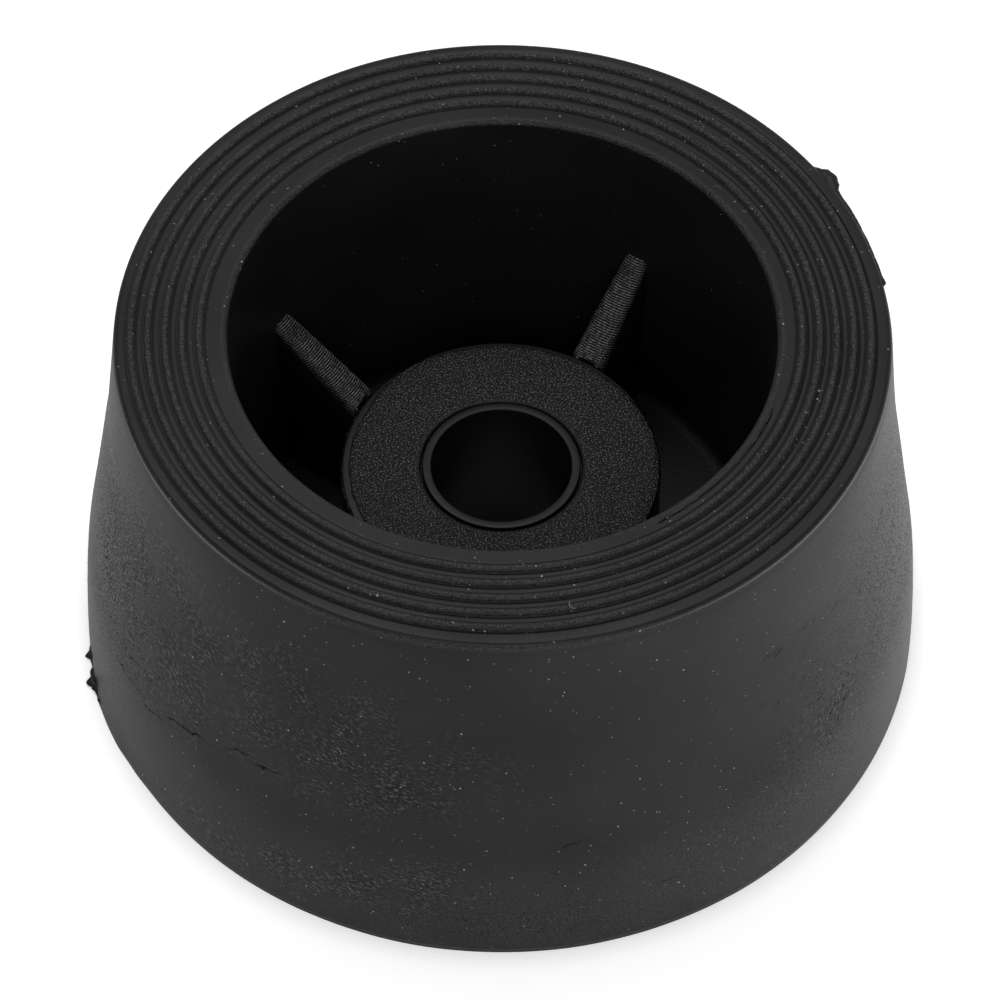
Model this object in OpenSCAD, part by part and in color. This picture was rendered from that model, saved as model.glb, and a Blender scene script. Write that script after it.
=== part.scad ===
// Moulded rubber foot: a tapered round body with a cup, a hub on ribs and a beaded tread.
// The wide base lies on z = 0, the tread faces +Z, and the bore runs along Z. All sizes are in mm.

/* [Body] */
// Diameter of the wide flat base.
base_d = 51.4; // [49.5:0.1:55]
// Diameter of the narrow end that carries the tread.
rim_d = 44.5; // [44:0.1:46]
// Height from the base to the flat bands of the tread.
height = 26.5; // [25:0.1:30]
// Rounding of the tread's outer edge.
rim_round = 0.4; // [0.3:0.05:0.6]
// Rounding of the edge where the tread turns into the cup.
mouth_round = 0.3; // [0.2:0.05:0.5]

/* [Cup] */
// Diameter of the cup at its mouth.
mouth_d = 31.5; // [30.5:0.1:32.4]
// Thickness of the floor under the cup.
floor_t = 4.5; // [3:0.1:6]
// Draft of the cup wall, in degrees, so that it left the mould.
cup_draft = 0.8; // [0.2:0.1:1.4]

/* [Hub] */
// Diameter of the hub at its flat top.
hub_d = 19.1; // [17.6:0.1:20]
// Height of the hub's top above the base.
hub_h = 13.4; // [11:0.1:15]
// Draft of the hub's side, in degrees.
hub_draft = 1.0; // [0.2:0.1:1.4]
// Diameter of the bore, a free fit on an 8 mm screw.
bore_d = 8.4; // [6.4:0.1:9]
// Wall of the smooth ring round the bore.
lip_t = 0.52; // [0.4:0.02:0.8]
// Height of that ring above the hub's top.
lip_rise = 0.08; // [0.04:0.02:0.2]
// Width of the thin groove round the ring.
moat_w = 0.2; // [0.16:0.02:0.3]
// Depth of that groove.
moat_depth = 0.5; // [0.3:0.1:1]

/* [Ribs] */
// Number of ribs between the hub and the cup wall.
rib_count = 4; // [3:1:6]
// Thickness of a rib at the hub.
rib_w_hub = 2.3; // [1.8:0.1:2.8]
// Thickness of a rib at the cup wall.
rib_w_wall = 1.56; // [1.2:0.02:2]
// Drop from the hub's top to a rib's crest at the hub's edge.
rib_drop = 0.15; // [0.1:0.05:0.6]
// Height that a crest gains from the hub to the cup wall.
rib_rise = 3.95; // [2:0.05:6]
// Width of the notch between a rib's nose and the hub.
notch_w = 0.35; // [0.2:0.05:0.6]
// Depth of that notch below the hub's top.
notch_depth = 0.9; // [0.5:0.1:2]

/* [Tread] */
// Number of concentric beads on the tread.
bead_count = 5; // [2:1:5]
// Share of the tread's width between the first and the last bead.
bead_spread = 0.6; // [0.5:0.01:0.64]
// Width of a bead as a share of the beads' spacing.
bead_fill = 0.49; // [0.3:0.01:0.56]
// Shift of the beads outwards from the middle of the tread, as a share of its width.
bead_shift = 0.043; // [0:0.001:0.05]

/* [Hidden] */
$fn = 180;
base_r = base_d / 2;
rim_r = rim_d / 2;
mouth_r = mouth_d / 2;
hub_r = hub_d / 2;
bore_r = bore_d / 2;
cup_r = mouth_r - (height - floor_t) * tan(cup_draft);
hub_foot_r = hub_r + (hub_h - floor_t + 1) * tan(hub_draft);
lip_r = bore_r + lip_t;
tread_w = rim_r - mouth_r;
tread_mid = mouth_r + tread_w * (0.5 + bead_shift);
bead_pitch = tread_w * bead_spread / (bead_count - 1);
bead_r = bead_pitch * bead_fill / 2;
// How much of the taper is left at each fraction of the height: steep at mid height, easing at both ends.
wall_curve = [
    [0.064, 0.023], [0.183, 0.092], [0.30, 0.187], [0.415, 0.339],
    [0.528, 0.4885], [0.638, 0.635], [0.743, 0.764]
];
// A rib's crest starts inside the hub and ends inside the cup's wall, so that it joins both.
rib_r0 = hub_r - 1.5;
rib_r1 = mouth_r + 1;
rib_slope = rib_rise / (mouth_r - hub_r);
rib_z0 = hub_h - rib_drop - (hub_r - rib_r0) * rib_slope;
rib_z1 = hub_h - rib_drop + (rib_r1 - hub_r) * rib_slope;
rib_angle = atan(rib_slope);
rib_len = sqrt(pow(rib_r1 - rib_r0, 2) + pow(rib_z1 - rib_z0, 2));
rib_thin = (rib_w_wall - rib_w_hub) / (mouth_r - hub_r);
rib_h0 = (rib_w_hub + (rib_r0 - hub_r) * rib_thin) / 2;
rib_h1 = (rib_w_hub + (rib_r1 - hub_r) * rib_thin) / 2;
rib_a0 = rib_z0 - rib_h0 / cos(rib_angle);
rib_a1 = rib_z1 - rib_h1 / cos(rib_angle);

// The outer body without its cup, with both top edges rounded by a ring of their own.
module body_blank() {
    rotate_extrude()
        polygon(concat(
            [[0, 0], [base_r, 0]],
            [for (p = wall_curve) [base_r - (base_r - rim_r) * p[1], height * p[0]]],
            [[rim_r, height - rim_round], [rim_r - rim_round, height], [0, height]]
        ));
    translate([0, 0, height - rim_round])
        rotate_extrude()
            translate([rim_r - rim_round, 0])
                circle(r = rim_round);
}

// The cup, widening slightly to its mouth, with the corner at the mouth left for the rounding.
module cup_space() {
    rotate_extrude()
        polygon([
            [0, floor_t], [cup_r, floor_t], [mouth_r, height - mouth_round],
            [mouth_r + mouth_round, height], [mouth_r + mouth_round, height + 1], [0, height + 1]
        ]);
}

// The half-round ring that fills the corner at the mouth to a rounded edge.
module mouth_edge() {
    translate([0, 0, height - mouth_round])
        rotate_extrude()
            translate([mouth_r + mouth_round, 0])
                circle(r = mouth_round);
}

// The hub, wider towards the floor.
module hub() {
    translate([0, 0, floor_t - 1])
        cylinder(h = hub_h - floor_t + 1, r1 = hub_foot_r, r2 = hub_r);
}

// One rib along +X: a tapered plate from the floor with a rounded crest that climbs to the wall.
module rib_blank() {
    intersection() {
        translate([0, 0, floor_t - 1])
            linear_extrude(height = height)
                polygon([
                    [rib_r0, -rib_h0 * 0.96], [rib_r1, -rib_h1 * 0.96],
                    [rib_r1, rib_h1 * 0.96], [rib_r0, rib_h0 * 0.96]
                ]);
        translate([0, rib_w_hub, 0])
            rotate([90, 0, 0])
                linear_extrude(height = 2 * rib_w_hub)
                    polygon([[rib_r0, floor_t - 1], [rib_r1, floor_t - 1], [rib_r1, rib_a1], [rib_r0, rib_a0]]);
    }
    translate([rib_r0, 0, rib_a0])
        rotate([0, 90 - rib_angle, 0])
            cylinder(h = rib_len, r1 = rib_h0, r2 = rib_h1);
}

// The rib with the notch that sets its nose off from the hub.
module rib() {
    difference() {
        rib_blank();
        translate([0, 0, hub_h - notch_depth])
            cylinder(h = notch_depth + rib_rise, r = hub_r + notch_w);
    }
}

// One bead of the tread: a ring of round section, half sunk into the flat.
module bead(r) {
    translate([0, 0, height])
        rotate_extrude()
            translate([r, 0])
                circle(r = bead_r);
}

module rubber_foot() {
    color([0.09, 0.09, 0.095])
        difference() {
            union() {
                difference() {
                    body_blank();
                    cup_space();
                }
                mouth_edge();
                hub();
                for (i = [0 : rib_count - 1])
                    rotate([0, 0, 45 + i * 360 / rib_count])
                        rib();
                for (i = [0 : bead_count - 1])
                    bead(tread_mid + (i - (bead_count - 1) / 2) * bead_pitch);
                translate([0, 0, hub_h - 1])
                    cylinder(h = 1 + lip_rise, r = lip_r);
            }
            translate([0, 0, hub_h - moat_depth])
                difference() {
                    cylinder(h = moat_depth + 1, r = lip_r + moat_w);
                    translate([0, 0, -1])
                        cylinder(h = moat_depth + 3, r = lip_r);
                }
            translate([0, 0, -1])
                cylinder(h = hub_h + 3, r = bore_r);
        }
}

rubber_foot();
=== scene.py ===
# %% [markdown]
# # A moulded rubber foot
# This foot came out of a mould in one piece of black rubber: a tapered wall, a beaded tread round a deep
# cup, and a hub on four ribs with a hole for the screw. The solid model gives its true shape. These cells
# dress that shape with what moulding and handling leave: sandy beads, ripples on the ribs, thin flash
# along the edges, flow marks on the wall, and dust.

# %% Load the frame
import math

import bpy
from mathutils import Matrix, Vector, noise


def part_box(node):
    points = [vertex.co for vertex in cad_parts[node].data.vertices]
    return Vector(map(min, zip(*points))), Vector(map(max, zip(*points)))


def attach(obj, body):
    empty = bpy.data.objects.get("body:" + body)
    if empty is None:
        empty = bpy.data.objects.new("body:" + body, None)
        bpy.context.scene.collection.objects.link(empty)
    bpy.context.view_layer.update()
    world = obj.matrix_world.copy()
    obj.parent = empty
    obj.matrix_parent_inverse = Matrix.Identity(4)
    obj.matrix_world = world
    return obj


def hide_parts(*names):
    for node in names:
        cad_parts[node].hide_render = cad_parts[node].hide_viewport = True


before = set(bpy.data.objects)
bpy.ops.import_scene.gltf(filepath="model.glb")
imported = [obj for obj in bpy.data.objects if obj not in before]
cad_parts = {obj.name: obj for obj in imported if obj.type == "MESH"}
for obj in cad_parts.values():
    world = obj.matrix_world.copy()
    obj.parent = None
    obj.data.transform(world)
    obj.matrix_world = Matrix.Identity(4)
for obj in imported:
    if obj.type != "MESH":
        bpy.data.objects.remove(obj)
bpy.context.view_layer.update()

foot_low, foot_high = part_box("rubber_foot")
print("solid foot from", tuple(foot_low), "to", tuple(foot_high))

# %% [markdown]
# ## Sizes
# Blender works in metres and a moulder in millimetres, so one helper turns one into the other. The base
# and the height come from the solid. The other sizes are the ones that the solid was drawn with, apart
# from the small ones of the tread, the hub's edge and the groove round the bore. Those follow the real foot
# more closely.

# %% Named sizes
def mm(value):
    return value * 0.001


BEAD_R = mm(0.239)
TOP = foot_high[2] - BEAD_R
BASE_R = foot_high[0]
RIM_R = mm(22.25)
RIM_ROUND = mm(0.3)
MOUTH_R = mm(15.75)
MOUTH_ROUND = mm(0.3)
CUP_R = mm(15.443)
FLOOR = mm(4.5)
HUB_R = mm(9.55)
HUB_FOOT_R = mm(9.705)
HUB_TOP = mm(13.4)
BORE_R = mm(4.2)
LIP_R = mm(4.72)
LIP_RISE = mm(0.08)
LIP_ROUND = mm(0.08)
MOAT_W = mm(0.16)
MOAT_DEPTH = mm(0.5)
HUB_EDGE = HUB_R - mm(0.3)
HUB_EDGE_DROP = mm(0.07)
HUB_ROUND = mm(0.1)
TREAD_W = RIM_R - MOUTH_R
BEADS = 5
BEAD_SPREAD = 0.6
BEAD_SHIFT = 0.043
BEAD_INSET = mm(0.06)
BEAD_PITCH = TREAD_W * BEAD_SPREAD / (BEADS - 1)
BEAD_MID = MOUTH_R + TREAD_W * (0.5 + BEAD_SHIFT) - BEAD_INSET
BEAD_RISE = mm(0.19)
BEAD_OUT = mm(0.19)
BEAD_IN = mm(0.22)
CREASE = mm(0.15)
CREASE_W = mm(0.11)
CREASE_SIDE = mm(0.02)
INNER_CREASE = 0.85
print("tread at", round(TOP * 1000, 2), "mm, beads every", round(BEAD_PITCH * 1000, 3), "mm")

# %% [markdown]
# ## The camera
# The foot is seen from well above, so that the tread, the cup and the wall all show. A long lens keeps the
# circles nearly true. The camera stands 140 mm from the axis and 196 mm above the table, looks down 53
# degrees and leans by a little over half a degree. The ribs lie on the diagonals of the frame, so the
# camera goes round the foot by 13.6 degrees to meet them as the picture does.

# %% Set the camera
CAMERA_AROUND = math.radians(-13.6)
CAMERA_DOWN = math.radians(53.04)
CAMERA_LEAN = 0.0106
CAMERA_OUT = mm(140.16)
CAMERA_UP = mm(196.3)
FILM_WIDTH = 36
LENS = 138.55
LENS_SHIFT = (-0.001, -0.0006)


def new_object(name, data):
    thing = bpy.data.objects.new(name, data)
    bpy.context.scene.collection.objects.link(thing)
    return thing


def set_camera():
    data = bpy.data.cameras.new("bench_camera")
    data.sensor_width = FILM_WIDTH
    data.lens = LENS
    data.shift_x, data.shift_y = LENS_SHIFT
    data.clip_start = mm(10)
    camera = new_object("bench_camera", data)
    turn = Matrix.Rotation(CAMERA_AROUND, 4, "Z")
    tilt = Matrix.Rotation(math.pi / 2 - CAMERA_DOWN, 4, "X")
    lean = Matrix.Rotation(CAMERA_LEAN, 4, "Z")
    place = turn @ Matrix.Translation((0, -CAMERA_OUT, CAMERA_UP))
    camera.matrix_world = place @ tilt @ lean
    bpy.context.scene.camera = camera
    return camera


camera = set_camera()
print("camera at", [round(v, 4) for v in camera.matrix_world.translation])

# %% [markdown]
# ## Node helpers
# A node tree is easier to read when each node is made in one step: its kind, its settings, and what goes
# into its sockets. A value is typed in and a socket is linked. Colours are written as hex, as they look
# on screen, and turned to the linear values that Blender computes with.

# %% Add a node, read a colour
def add_node(tree, kind, inputs=None, **settings):
    node = tree.nodes.new(kind)
    for name, value in settings.items():
        setattr(node, name, value)
    for key, value in (inputs or {}).items():
        if isinstance(value, bpy.types.NodeSocket):
            tree.links.new(value, node.inputs[key])
        else:
            node.inputs[key].default_value = value
    return node


def linear(hex_colour):
    channels = [int(hex_colour[i:i + 2], 16) / 255 for i in (1, 3, 5)]
    return [c / 12.92 if c < 0.04045 else ((c + 0.055) / 1.055) ** 2.4 for c in channels] + [1.0]


def per_mm(size):
    return 1 / mm(size)


print("black rubber in linear light:", [round(c, 4) for c in linear("#1a1a1a")])

# %% [markdown]
# ## The rubber
# The foot is natural or styrene rubber filled with carbon black and pressed in a steel mould. The rubber
# copies the mould: the hub's top is spark-eroded and comes out sandy, the beads were cut with a rough tool,
# and the lands between them and the wall came from polished steel. Black filler makes the colour almost
# nothing, so the eye reads the foot by its satin reflections. An attribute of the turned body tells how
# sandy, how grained and how wall-like its skin is at each point, and the ribs carry their ripples as one.

# %% Helpers for a material
def new_material(name):
    material = bpy.data.materials.new(name)
    material.use_nodes = True
    material.node_tree.nodes.clear()
    return material, material.node_tree


def mark(tree, chart, angle, height, tilt, length, width, soft):
    """One inside an ellipse drawn on the wall, in degrees and mm, fading out over its soft edge.
    A soft edge above one also makes the whole mark fainter."""
    round_wall = math.radians((angle - 90) % 360 - 180) * BASE_R
    local = add_node(tree, "ShaderNodeMapping", {
        "Vector": chart, "Location": (round_wall, mm(height), 0), "Rotation": (0, 0, math.radians(tilt)),
        "Scale": (mm(length / 2), mm(width / 2), 1)}, vector_type="TEXTURE").outputs[0]
    far = add_node(tree, "ShaderNodeVectorMath", {0: local}, operation="LENGTH").outputs["Value"]
    return add_node(tree, "ShaderNodeMapRange", {0: far, 1: 1 - soft, 2: 1.0, 3: 1.0, 4: 0.0}).outputs[0]


def marked(tree, chart, spots):
    """One inside any of some marks."""
    masks = [mark(tree, chart, *spot) for spot in spots]
    total = masks[0]
    for mask in masks[1:]:
        total = add_node(tree, "ShaderNodeMath", {0: total, 1: mask}, operation="MAXIMUM").outputs[0]
    return total


# %% [markdown]
# ## Marks on the wall
# Where streams of rubber met in the mould the skin is streaky, where it set and then slid it is wrinkled,
# and in a few places it tore. The folds and the tears are painted dark, a painted shade in their hollows.
# Wax that came up out of the rubber dries to a grainy haze, and the rim's edge is painted pale in two places,
# a painted highlight where the edge is also rubbed. A picture of all that would have to be painted. Instead
# the wall is charted flat, each mark is an ellipse on the chart, and a noise fills it. Six numbers place a
# mark: its angle round the foot, its height, its tilt, its length, its width and how soft its edge is.

# %% Places and patterns of the marks
FLOW_PATCHES = [(198, 16, 10, 24, 19, 0.5), (220, 17, 12, 26, 13, 0.7), (240, 14.5, 14, 20, 9, 0.8),
                (222, 3.5, 8, 20, 6, 0.7), (242, 5.5, 8, 20, 7, 0.8), (308, 10, 10, 13, 10, 0.9),
                (35, 12, 10, 24, 12, 0.8), (130, 14, 0, 26, 10, 0.8)]
WRINKLE_PATCHES = [(303, 17, 20, 17, 13, 0.8), (312, 12, 20, 16, 12, 0.8), (324, 17, 0, 16, 15, 0.8)]
HAZE_PATCHES = [(346, 14, 0, 46, 40, 0.8), (304, 5, 0, 56, 18, 1.8), (262, 3, 0, 46, 11, 2.0),
                (182, 14, 0, 26, 36, 0.9)]
# The rim's edge is painted pale in two places: a painted highlight where the edge is also rubbed.
RIM_EDGE_HIGHLIGHTS = [(318, 26.22, 0, 42, 0.26, 0.9), (203, 26.22, 0, 26, 0.26, 1.2)]
TEARS = [(266.4, 9.9, 8, 2.4, 0.22, 0.6), (279.9, 4.6, 3, 2.6, 0.2, 0.6), (252.1, 3.2, -20, 1.4, 0.2, 0.6),
         (204.5, 1.9, 60, 1.7, 0.35, 0.7), (195, 8.3, 6, 6, 0.3, 0.8), (203, 8.4, 18, 5, 0.25, 0.8),
         (207, 9.6, 20, 5, 0.3, 0.8), (212, 10.2, 12, 6, 0.25, 0.8), (224, 11.6, 12, 4, 0.25, 0.8),
         (219, 11.6, 20, 5, 0.2, 0.8), (196, 10.2, 14, 6, 0.2, 0.8)]
FLOW_FALL = math.radians(-14)
FLOW_CLIMB = math.radians(24)


def chart_wall(tree, place):
    """The distance round the wall, and the wall charted by it and the height. The seam is at the back."""
    parts = add_node(tree, "ShaderNodeSeparateXYZ", {0: place}).outputs
    front = add_node(tree, "ShaderNodeMath", {0: parts[1], 1: -1.0}, operation="MULTIPLY").outputs[0]
    turned = add_node(tree, "ShaderNodeMath", {0: parts[0], 1: front}, operation="ARCTAN2").outputs[0]
    turned = add_node(tree, "ShaderNodeMath", {0: turned, 1: BASE_R}, operation="MULTIPLY").outputs[0]
    return turned, add_node(tree, "ShaderNodeCombineXYZ", {0: turned, 1: parts[2]}).outputs[0]


def streaks(tree, chart, slant, length, width, detail, roughness, distortion):
    """A noise of streaks that lie along the slant, each of about that length and width in mm."""
    size = (mm(length), mm(width), 1)
    local = add_node(tree, "ShaderNodeMapping", {"Vector": chart, "Rotation": slant, "Scale": size},
                     vector_type="TEXTURE").outputs[0]
    return add_node(tree, "ShaderNodeTexNoise", {
        "Vector": local, "Scale": 1.0, "Detail": detail, "Roughness": roughness,
        "Distortion": distortion}).outputs["Fac"]


def wall_skin(tree, place, wall, fine):
    """The noise of the flow marks, and four masks: flow marks, the painted shade of folds and tears, bloom,
    and the painted highlight on the rim's rubbed edge.
    """
    turned, chart = chart_wall(tree, place)
    # The streaks fall to the right on the left of the front, and climb to the right on the right of it.
    slant = add_node(tree, "ShaderNodeMapRange", {0: turned, 1: 0.0, 2: mm(6), 3: FLOW_FALL, 4: FLOW_CLIMB})
    slant = add_node(tree, "ShaderNodeCombineXYZ", {2: slant.outputs[0]}).outputs[0]
    cluster = add_node(tree, "ShaderNodeTexNoise", {"Vector": place, "Scale": per_mm(2.6), "Detail": 2.0})
    cluster = add_node(tree, "ShaderNodeMapRange",
                       {0: cluster.outputs["Fac"], 1: 0.38, 2: 0.6, 3: 0.2}).outputs[0]

    # Flow marks: where the rubber closed over itself the skin is streaky, in patches 13 to 26 mm long.
    flow = streaks(tree, chart, slant, 0.36, 0.11, 2.0, 0.6, 0.4)
    patch = marked(tree, chart, FLOW_PATCHES)
    patch = add_node(tree, "ShaderNodeMath", {0: patch, 1: cluster}, operation="MULTIPLY").outputs[0]
    flow_on_wall = add_node(tree, "ShaderNodeMath", {0: patch, 1: wall}, operation="MULTIPLY").outputs[0]

    # Wrinkles: where the skin set and then slid, it has thin folds, far longer than wide, painted dark as a
    # painted shade in them.
    fold_shade = streaks(tree, chart, slant, 1.6, 0.2, 1.0, 0.5, 1.1)
    fold_shade = add_node(tree, "ShaderNodeMapRange", {0: fold_shade, 1: 0.36, 2: 0.3}).outputs[0]
    creased = marked(tree, chart, WRINKLE_PATCHES)
    creased = add_node(tree, "ShaderNodeMath", {0: creased, 1: cluster}, operation="MULTIPLY").outputs[0]
    fold_shade = add_node(tree, "ShaderNodeMath", {0: fold_shade, 1: creased}, operation="MULTIPLY").outputs[0]

    # Bloom: wax that came up out of the rubber leaves a grainy haze over both sides and along the base.
    haze = marked(tree, chart, HAZE_PATCHES)
    haze = add_node(tree, "ShaderNodeMath", {0: haze, 1: wall}, operation="MULTIPLY").outputs[0]
    bloom = add_node(tree, "ShaderNodeMath", {0: fine, 1: 0.5}, operation="SUBTRACT").outputs[0]
    bloom = add_node(tree, "ShaderNodeMath", {0: bloom, 1: haze}, operation="MULTIPLY").outputs[0]

    # A tear is never quite straight, so its chart is shaken a little first.
    shake = add_node(tree, "ShaderNodeTexNoise", {"Vector": place, "Scale": per_mm(0.8), "Detail": 2.0})
    shake = add_node(tree, "ShaderNodeVectorMath", {0: shake.outputs["Color"], 1: (0.5, 0.5, 0.5)},
                     operation="SUBTRACT").outputs[0]
    shake = add_node(tree, "ShaderNodeVectorMath", {0: shake, "Scale": mm(0.9)},
                     operation="SCALE").outputs[0]
    shaken = add_node(tree, "ShaderNodeVectorMath", {0: chart, 1: shake}, operation="ADD").outputs[0]
    shaken = add_node(tree, "ShaderNodeVectorMath", {0: shaken, 1: (1, 1, 0)},
                      operation="MULTIPLY").outputs[0]
    # The tears and the folds are painted dark together, a painted shade in their hollows.
    fold_and_tear_shade = marked(tree, shaken, TEARS)
    fold_and_tear_shade = add_node(tree, "ShaderNodeMath", {0: fold_and_tear_shade, 1: cluster}, operation="MULTIPLY").outputs[0]
    fold_and_tear_shade = add_node(tree, "ShaderNodeMath", {0: fold_and_tear_shade, 1: fold_shade}, operation="MAXIMUM").outputs[0]
    fold_and_tear_shade = add_node(tree, "ShaderNodeMapRange", {0: fold_and_tear_shade, 1: 0.06, 2: 0.8, 4: 0.85}).outputs[0]
    fold_and_tear_shade = add_node(tree, "ShaderNodeMath", {0: fold_and_tear_shade, 1: wall}, operation="MULTIPLY").outputs[0]
    return flow, flow_on_wall, fold_and_tear_shade, bloom, marked(tree, chart, RIM_EDGE_HIGHLIGHTS)


print(len(FLOW_PATCHES), "patches of flow marks and", len(TEARS), "tears")

# %% [markdown]
# ## The skin of the rubber
# One material serves the whole foot, because it is one rubber. The colour starts as two near blacks in
# cloudy patches, and each mask lays one more shade over it; some are painted highlights and painted shade.
# The zones set how rough the skin is, the masks how much it mirrors, and both where it is raised. Only the
# marks need the chart of the wall. The grain, the grit and the dust are alike in all directions, so they use
# the plain coordinates.

# %% Moulded black rubber
def fine_dust(tree, place, broad):
    """Seven cells in ten hold a pale speck, up to 0.12 mm across, and it shows more in some places."""
    cell = add_node(tree, "ShaderNodeTexVoronoi", {"Vector": place, "Scale": per_mm(0.45)}).outputs
    chance = add_node(tree, "ShaderNodeSeparateXYZ", {0: cell["Color"]}).outputs[0]
    chance = add_node(tree, "ShaderNodeMapRange", {0: chance, 1: 0.3, 2: 1.0, 3: 0.0, 4: 0.13}).outputs[0]
    speck = add_node(tree, "ShaderNodeMath", {0: chance, 1: cell["Distance"]},
                     operation="SUBTRACT").outputs[0]
    speck = add_node(tree, "ShaderNodeMapRange", {0: speck, 2: 0.05}).outputs[0]
    drift = add_node(tree, "ShaderNodeMapRange", {0: broad, 1: 0.4, 2: 0.6, 3: 0.25}).outputs[0]
    return add_node(tree, "ShaderNodeMath", {0: speck, 1: drift}, operation="MULTIPLY").outputs[0]


def moulded_rubber():
    material, tree = new_material("moulded_black_rubber")
    place = add_node(tree, "ShaderNodeTexCoord").outputs["Object"]
    zone = add_node(tree, "ShaderNodeAttribute", attribute_name="zone").outputs["Vector"]
    sand, grain, wall = add_node(tree, "ShaderNodeSeparateXYZ", {0: zone}).outputs

    # Spark erosion leaves close-set pits of 0.1 to 0.2 mm. The beads carry a like skin that is less deep.
    grit = add_node(tree, "ShaderNodeTexNoise", {"Vector": place, "Scale": per_mm(0.1), "Detail": 1.0,
                                                 "Roughness": 0.4}).outputs["Fac"]
    grit = add_node(tree, "ShaderNodeMapRange", {0: grit, 1: 0.4, 2: 0.62}).outputs[0]
    fine = add_node(tree, "ShaderNodeTexNoise", {"Vector": place, "Scale": per_mm(0.1),
                                                 "Detail": 1.0}).outputs["Fac"]
    broad = add_node(tree, "ShaderNodeTexNoise", {"Vector": place, "Scale": per_mm(9.0),
                                                  "Detail": 3.0}).outputs["Fac"]
    tone = add_node(tree, "ShaderNodeMapRange", {0: broad, 1: 0.3, 2: 0.7}).outputs[0]

    # The streaks' raised lines are painted pale, a painted highlight, and their dips are painted dark, a
    # painted shade, on a skin that is a little duller than the rest.
    flow, flow_on_wall, fold_and_tear_shade, bloom, edge = wall_skin(tree, place, wall, fine)
    ridge_highlight = add_node(tree, "ShaderNodeMapRange", {0: flow, 1: 0.54, 2: 0.68}).outputs[0]
    ridge_highlight = add_node(tree, "ShaderNodeMath", {0: ridge_highlight, 1: flow_on_wall}, operation="MULTIPLY").outputs[0]
    dip_shade = add_node(tree, "ShaderNodeMapRange", {0: flow, 1: 0.46, 2: 0.3}).outputs[0]
    dip_shade = add_node(tree, "ShaderNodeMath", {0: dip_shade, 1: flow_on_wall}, operation="MULTIPLY").outputs[0]
    # Folds, tears and the streaks' dips share one painted shade.
    painted_shade = add_node(tree, "ShaderNodeMath", {0: fold_and_tear_shade, 1: dip_shade}, operation="MAXIMUM").outputs[0]
    dull = add_node(tree, "ShaderNodeMath", {0: flow_on_wall, 1: 0.4}, operation="MULTIPLY").outputs[0]
    mist = add_node(tree, "ShaderNodeMapRange", {0: bloom, 1: 0.08, 2: 0.3}).outputs[0]

    # The high points of a rough skin are painted pale, for rubbing and as a painted highlight, and the pits
    # stay black.
    crumbs_and_sheen = add_node(tree, "ShaderNodeMapRange", {0: fine, 1: 0.4, 2: 0.64}).outputs[0]
    crumbs_and_sheen = add_node(tree, "ShaderNodeMath", {0: crumbs_and_sheen, 1: sand}, operation="MULTIPLY").outputs[0]
    rubbed_and_sheen = add_node(tree, "ShaderNodeMath", {0: grit, 1: 1.5}, operation="POWER").outputs[0]
    rubbed_and_sheen = add_node(tree, "ShaderNodeMath", {0: rubbed_and_sheen, 1: grain}, operation="MULTIPLY").outputs[0]
    # The crests of the ribs' ripples are painted pale, a painted highlight.
    ripple = add_node(tree, "ShaderNodeAttribute", attribute_name="ripple").outputs["Fac"]
    ripple_highlight = add_node(tree, "ShaderNodeMapRange", {0: ripple, 1: 0.05, 2: 0.8}).outputs[0]

    colour = linear("#141414")
    # Some of these shades are painted light: a painted highlight on the streaks' ridges, the rim's edge, the
    # rough tops and the ripples' crests, and a painted shade in folds, tears and dips.
    for mask, shade in ((tone, "#1a1a1a"), (dull, "#080707"), (ridge_highlight, "#676562"), (painted_shade, "#030303"),
                        (fine_dust(tree, place, broad), "#8b8882"), (mist, "#7c7974"), (edge, "#7d7c79"),
                        (crumbs_and_sheen, "#454543"), (rubbed_and_sheen, "#666663"), (ripple_highlight, "#8c8c88")):
        colour = add_node(tree, "ShaderNodeMix", {0: mask, 6: colour, 7: linear(shade)},
                          data_type="RGBA").outputs[2]
    rough = add_node(tree, "ShaderNodeMath", {0: sand, 1: grain}, operation="MAXIMUM").outputs[0]
    rough = add_node(tree, "ShaderNodeMapRange", {0: rough, 3: 0.38, 4: 0.5}).outputs[0]

    # Each zone's strength stays outside the height, so that a bump has only one noise to read three times.
    sandy = add_node(tree, "ShaderNodeMath", {0: sand, 1: 0.8}, operation="MULTIPLY").outputs[0]
    below = {}
    for strength, depth, height in ((grain, mm(0.16), grit), (sandy, mm(0.12), fine),
                                    (flow_on_wall, mm(0.06), flow)):
        bump = add_node(tree, "ShaderNodeBump", {"Strength": strength, "Distance": depth, "Height": height,
                                                 **below})
        below = {"Normal": bump.outputs[0]}

    # Rubber has an index of 1.52, but its waxy, dusty skin mirrors less than half of what that gives.
    mirror = add_node(tree, "ShaderNodeMapRange", {0: tone, 3: 0.175, 4: 0.22}).outputs[0]
    for mask, gain in ((flow_on_wall, -0.07), (bloom, 1.5), (ridge_highlight, 0.2), (fold_and_tear_shade, -0.2)):
        mirror = add_node(tree, "ShaderNodeMath", {0: mask, 1: gain, 2: mirror},
                          operation="MULTIPLY_ADD").outputs[0]
    mirror.node.use_clamp = True
    skin = add_node(tree, "ShaderNodeBsdfPrincipled", {
        "Base Color": colour, "Roughness": rough, "IOR": 1.52, "Specular IOR Level": mirror, **below})
    add_node(tree, "ShaderNodeOutputMaterial", {"Surface": skin.outputs[0]})
    return material


rubber = moulded_rubber()
print("made", rubber.name, "of", len(rubber.node_tree.nodes), "nodes")

# %% [markdown]
# ## The profile of the foot
# Everything but the ribs is turned: one outline, swung round the axis, gives the wall, the tread, the cup,
# the hub and the bore. The outline is drawn once, as a closed chain of points in the X and Z plane, each
# with its zone. Arcs and straight runs are made by two short helpers, and the tapered wall by a smooth
# curve through its few given points. A zone tells how sandy, how grained and how wall-like the skin is.

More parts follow.
